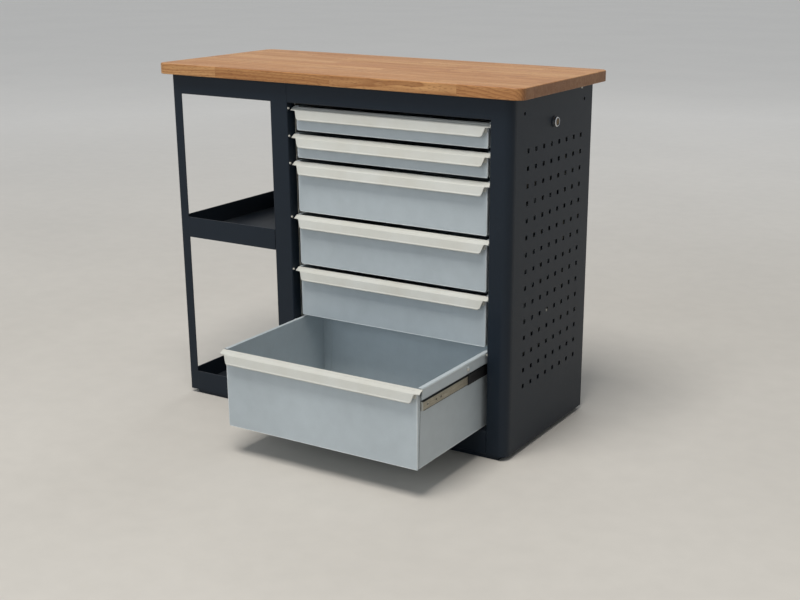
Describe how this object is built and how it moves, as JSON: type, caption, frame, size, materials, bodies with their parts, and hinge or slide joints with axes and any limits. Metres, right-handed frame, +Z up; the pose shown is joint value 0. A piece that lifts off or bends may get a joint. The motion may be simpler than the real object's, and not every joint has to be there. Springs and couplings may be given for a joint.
{
  "type": "workshop bench",
  "caption": "Workshop bench with a beech top, an open bay with lipped trays, a cabinet of sliding drawers with wide grips, a perforated side panel and a side lock.",
  "frame": {"origin": "on the floor, under the middle of the steel carcass", "axes": "+X to the right seen from the drawers' side, +Y to the back, +Z up"},
  "size_m": [0.977, 0.708, 0.833],
  "materials": {
    "beech": "laminated beech, clear oil",
    "anthracite_powder_coat": "fine textured powder coat",
    "light_grey_powder_coat": "smooth powder coat",
    "cream_plastic": "fine grained moulding",
    "zinc_plated_steel": "bright zinc, rolled",
    "chrome_plated": "polished",
    "black_steel": "phosphated, dull",
    "light_polyamide": "moulded"
  },
  "bodies": {
    "bench_frame": {"worktop": "beech", "bay_front_frame": "anthracite_powder_coat", "cabinet_front_frame": "anthracite_powder_coat", "rear_left_post": "anthracite_powder_coat", "rear_centre_post": "anthracite_powder_coat", "right_side_panel": "anthracite_powder_coat", "side_panel_screw": "zinc_plated_steel", "partition_wall": "anthracite_powder_coat", "back_panel": "anthracite_powder_coat", "back_panel_screws": "zinc_plated_steel", "cabinet_base": "anthracite_powder_coat", "bay_rear_rail": "anthracite_powder_coat", "bay_left_rail": "anthracite_powder_coat", "cabinet_rear_rail": "anthracite_powder_coat", "middle_tray": "anthracite_powder_coat", "bottom_tray": "anthracite_powder_coat", "plinth": "anthracite_powder_coat", "slide_uprights": "zinc_plated_steel", "upper_right_rails": "zinc_plated_steel", "upper_left_rails": "zinc_plated_steel", "lower_right_rails": "zinc_plated_steel", "lower_left_rails": "zinc_plated_steel", "stop_buffers": "light_polyamide", "worktop_screws": "zinc_plated_steel", "lock_housing": "chrome_plated", "lock_nut": "zinc_plated_steel", "locking_bar_guides": "light_polyamide"},
    "drawer_1": {"drawer_1_box": "light_grey_powder_coat", "drawer_1_front": "light_grey_powder_coat", "drawer_1_grip": "cream_plastic", "drawer_1_rails": "zinc_plated_steel"},
    "drawer_1_slides": {"drawer_1_ball_cages": "black_steel"},
    "drawer_2": {"drawer_2_box": "light_grey_powder_coat", "drawer_2_front": "light_grey_powder_coat", "drawer_2_grip": "cream_plastic", "drawer_2_rails": "zinc_plated_steel"},
    "drawer_2_slides": {"drawer_2_ball_cages": "black_steel"},
    "drawer_3": {"drawer_3_box": "light_grey_powder_coat", "drawer_3_front": "light_grey_powder_coat", "drawer_3_grip": "cream_plastic", "drawer_3_rails": "zinc_plated_steel"},
    "drawer_3_slides": {"drawer_3_ball_cages": "black_steel"},
    "drawer_4": {"drawer_4_box": "light_grey_powder_coat", "drawer_4_front": "light_grey_powder_coat", "drawer_4_grip": "cream_plastic", "drawer_4_rails": "zinc_plated_steel"},
    "drawer_4_slides": {"drawer_4_ball_cages": "black_steel"},
    "drawer_5": {"drawer_5_box": "light_grey_powder_coat", "drawer_5_front": "light_grey_powder_coat", "drawer_5_grip": "cream_plastic", "drawer_5_rails": "zinc_plated_steel"},
    "drawer_5_slides": {"drawer_5_ball_cages": "black_steel"},
    "drawer_6": {"drawer_6_box": "light_grey_powder_coat", "drawer_6_front": "light_grey_powder_coat", "drawer_6_grip": "cream_plastic", "drawer_6_rails": "zinc_plated_steel"},
    "drawer_6_slides": {"drawer_6_ball_cages": "black_steel"},
    "locking_bar": {"locking_bar": "zinc_plated_steel"},
    "lock_plug": {"lock_plug": "chrome_plated", "lock_cam": "zinc_plated_steel"}
  },
  "joints": [
    {"name": "drawer_1_pull", "type": "slide", "parent": "bench_frame", "child": "drawer_1", "axis": [0, -1, 0], "range_m": [0, 0.3]},
    {"name": "drawer_1_slides_travel", "type": "slide", "parent": "bench_frame", "child": "drawer_1_slides", "axis": [0, -1, 0], "range_m": [0, 0.15]},
    {"name": "drawer_2_pull", "type": "slide", "parent": "bench_frame", "child": "drawer_2", "axis": [0, -1, 0], "range_m": [0, 0.3]},
    {"name": "drawer_2_slides_travel", "type": "slide", "parent": "bench_frame", "child": "drawer_2_slides", "axis": [0, -1, 0], "range_m": [0, 0.15]},
    {"name": "drawer_3_pull", "type": "slide", "parent": "bench_frame", "child": "drawer_3", "axis": [0, -1, 0], "range_m": [0, 0.3]},
    {"name": "drawer_3_slides_travel", "type": "slide", "parent": "bench_frame", "child": "drawer_3_slides", "axis": [0, -1, 0], "range_m": [0, 0.15]},
    {"name": "drawer_4_pull", "type": "slide", "parent": "bench_frame", "child": "drawer_4", "axis": [0, -1, 0], "range_m": [0, 0.3]},
    {"name": "drawer_4_slides_travel", "type": "slide", "parent": "bench_frame", "child": "drawer_4_slides", "axis": [0, -1, 0], "range_m": [0, 0.15]},
    {"name": "drawer_5_pull", "type": "slide", "parent": "bench_frame", "child": "drawer_5", "axis": [0, -1, 0], "range_m": [0, 0.3]},
    {"name": "drawer_5_slides_travel", "type": "slide", "parent": "bench_frame", "child": "drawer_5_slides", "axis": [0, -1, 0], "range_m": [0, 0.15]},
    {"name": "drawer_6_pull", "type": "slide", "parent": "bench_frame", "child": "drawer_6", "axis": [0, -1, 0], "range_m": [-0.288, 0.012]},
    {"name": "drawer_6_slides_travel", "type": "slide", "parent": "bench_frame", "child": "drawer_6_slides", "axis": [0, -1, 0], "range_m": [-0.144, 0.006]},
    {"name": "locking_bar_drop", "type": "slide", "parent": "bench_frame", "child": "locking_bar", "axis": [0, 0, -1], "range_m": [0, 0.009]},
    {"name": "lock_turn", "type": "hinge", "parent": "bench_frame", "child": "lock_plug", "pos_m": [0.4485, 0, 0.7385], "axis": [1, 0, 0], "range_deg": [0, 90]}
  ],
  "couplings": [
    {"joint": "drawer_1_slides_travel", "follows": "drawer_1_pull", "ratio": 0.5},
    {"joint": "drawer_2_slides_travel", "follows": "drawer_2_pull", "ratio": 0.5},
    {"joint": "drawer_3_slides_travel", "follows": "drawer_3_pull", "ratio": 0.5},
    {"joint": "drawer_4_slides_travel", "follows": "drawer_4_pull", "ratio": 0.5},
    {"joint": "drawer_5_slides_travel", "follows": "drawer_5_pull", "ratio": 0.5},
    {"joint": "drawer_6_slides_travel", "follows": "drawer_6_pull", "ratio": 0.5},
    {"joint": "lock_turn", "follows": "locking_bar_drop", "rad_per_m": 174.5}
  ]
}
